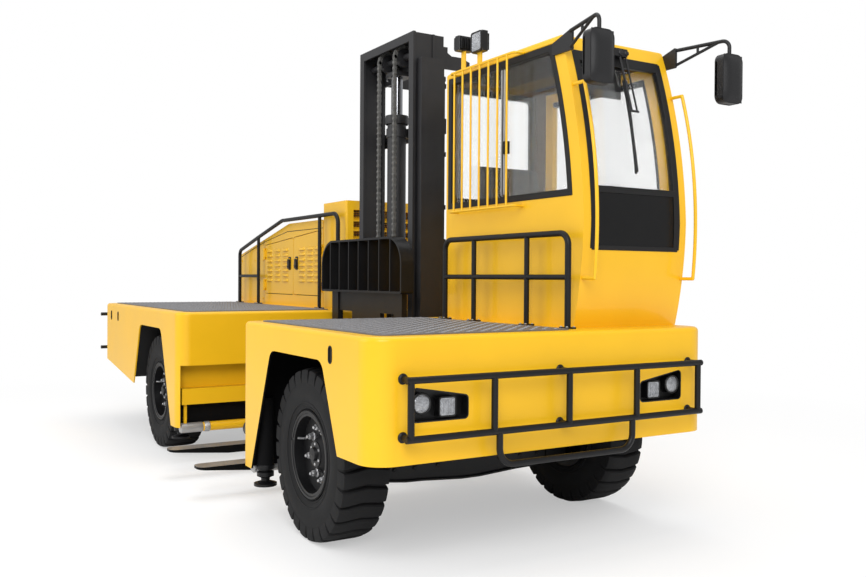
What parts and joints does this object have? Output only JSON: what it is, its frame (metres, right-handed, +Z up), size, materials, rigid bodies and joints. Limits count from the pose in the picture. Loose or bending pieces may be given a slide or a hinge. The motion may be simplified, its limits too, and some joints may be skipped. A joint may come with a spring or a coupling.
{
  "type": "side loader forklift",
  "caption": "Side loader forklift: long deck split by a load well, reach mast with forks facing sideways, cab at the front corner, engine hood at the rear.",
  "frame": {"origin": "on the ground under the middle of the vehicle's box", "axes": "+X forward to the cab end, +Y to the vehicle's left, +Z up; the load side is -Y"},
  "size_m": [5.442, 2.29, 2.913],
  "materials": {
    "yellow_paint": "gloss",
    "black_paint": "satin",
    "mast_paint": "satin",
    "tread_steel": "satin",
    "bare_steel": "satin",
    "chrome_rod": "polished",
    "chain_steel": "oiled",
    "tyre_rubber": "matte",
    "clear_glass": "polished",
    "dark_panel": "gloss",
    "black_plastic": "matte",
    "seat_cover": "matte",
    "lamp_black": "gloss",
    "engine_grey": "rough"
  },
  "bodies": {
    "chassis": {"chassis_frame": "yellow_paint", "front_body": "yellow_paint", "rear_body": "yellow_paint", "deck_plates": "tread_steel", "end_guards": "black_paint", "deck_rails": "black_paint", "lamps": "lamp_black", "cab_shell": "yellow_paint", "cab_glass": "clear_glass", "cab_front_panel": "dark_panel", "window_guard": "yellow_paint", "grab_handles": "yellow_paint", "mirrors": "black_plastic", "wiper": "black_paint", "seat": "seat_cover", "steering_column": "black_plastic", "engine_hood": "yellow_paint", "intake_box": "yellow_paint", "engine_block": "engine_grey", "front_axle": "black_paint", "rear_axle": "black_paint"},
    "cab_door": {"cab_door": "yellow_paint", "cab_door_glass": "clear_glass"},
    "hood_door_rear": {"hood_door_rear": "yellow_paint"},
    "hood_door_front": {"hood_door_front": "yellow_paint"},
    "knuckle_right": {"knuckle_right": "black_paint"},
    "knuckle_left": {"knuckle_left": "black_paint"},
    "jack_rear": {"jack_rear": "black_paint"},
    "jack_front": {"jack_front": "black_paint"},
    "mast": {"mast_outer": "mast_paint", "lift_cylinder": "mast_paint"},
    "mast_stage": {"mast_inner": "mast_paint", "lift_rod": "chrome_rod", "lift_chains": "chain_steel"},
    "carriage": {"fork_carriage": "black_paint", "backrest": "black_paint", "forks": "bare_steel"},
    "wheel_front_right": {"tyre_front_right": "tyre_rubber", "rim_front_right": "black_paint"},
    "wheel_front_left": {"tyre_front_left": "tyre_rubber", "rim_front_left": "black_paint"},
    "wheel_rear_right": {"tyre_rear_right": "tyre_rubber", "rim_rear_right": "black_paint"},
    "wheel_rear_left": {"tyre_rear_left": "tyre_rubber", "rim_rear_left": "black_paint"}
  },
  "joints": [
    {"name": "mast_reach", "type": "slide", "parent": "chassis", "child": "mast", "axis": [0, -1, 0], "range_m": [0, 1.05]},
    {"name": "mast_lift", "type": "slide", "parent": "mast", "child": "mast_stage", "axis": [0, 0, 1], "range_m": [0, 1.7]},
    {"name": "carriage_lift", "type": "slide", "parent": "mast_stage", "child": "carriage", "axis": [0, 0, 1], "range_m": [0, 1.7]},
    {"name": "steer_right", "type": "hinge", "parent": "chassis", "child": "knuckle_right", "pos_m": [1.826, -0.61, 0.425], "axis": [0, 0, 1], "range_deg": [-35, 35]},
    {"name": "steer_left", "type": "hinge", "parent": "chassis", "child": "knuckle_left", "pos_m": [1.826, 0.61, 0.425], "axis": [0, 0, 1], "range_deg": [-35, 35]},
    {"name": "spin_front_right", "type": "hinge", "parent": "knuckle_right", "child": "wheel_front_right", "pos_m": [1.826, -0.8, 0.425], "axis": [0, 1, 0], "continuous": true},
    {"name": "spin_front_left", "type": "hinge", "parent": "knuckle_left", "child": "wheel_front_left", "pos_m": [1.826, 0.8, 0.425], "axis": [0, 1, 0], "continuous": true},
    {"name": "spin_rear_right", "type": "hinge", "parent": "chassis", "child": "wheel_rear_right", "pos_m": [-0.994, -0.8, 0.425], "axis": [0, 1, 0], "continuous": true},
    {"name": "spin_rear_left", "type": "hinge", "parent": "chassis", "child": "wheel_rear_left", "pos_m": [-0.994, 0.8, 0.425], "axis": [0, 1, 0], "continuous": true},
    {"name": "cab_door_hinge", "type": "hinge", "parent": "chassis", "child": "cab_door", "pos_m": [1.333, 0.99, 1.8], "axis": [0, 0, 1], "range_deg": [0, 90]},
    {"name": "hood_door_rear_hinge", "type": "hinge", "parent": "chassis", "child": "hood_door_rear", "pos_m": [-1.933, 0.27, 1.4], "axis": [0, 0, -1], "range_deg": [0, 90]},
    {"name": "hood_door_front_hinge", "type": "hinge", "parent": "chassis", "child": "hood_door_front", "pos_m": [-0.687, 0.27, 1.4], "axis": [0, 0, 1], "range_deg": [0, 90]},
    {"name": "jack_front_drop", "type": "slide", "parent": "chassis", "child": "jack_front", "axis": [0, 0, -1], "range_m": [0, 0.15]},
    {"name": "jack_rear_drop", "type": "slide", "parent": "chassis", "child": "jack_rear", "axis": [0, 0, -1], "range_m": [0, 0.15]}
  ],
  "couplings": [
    {"joint": "carriage_lift", "follows": "mast_lift", "ratio": 1},
    {"joint": "steer_left", "follows": "steer_right", "ratio": 1}
  ]
}
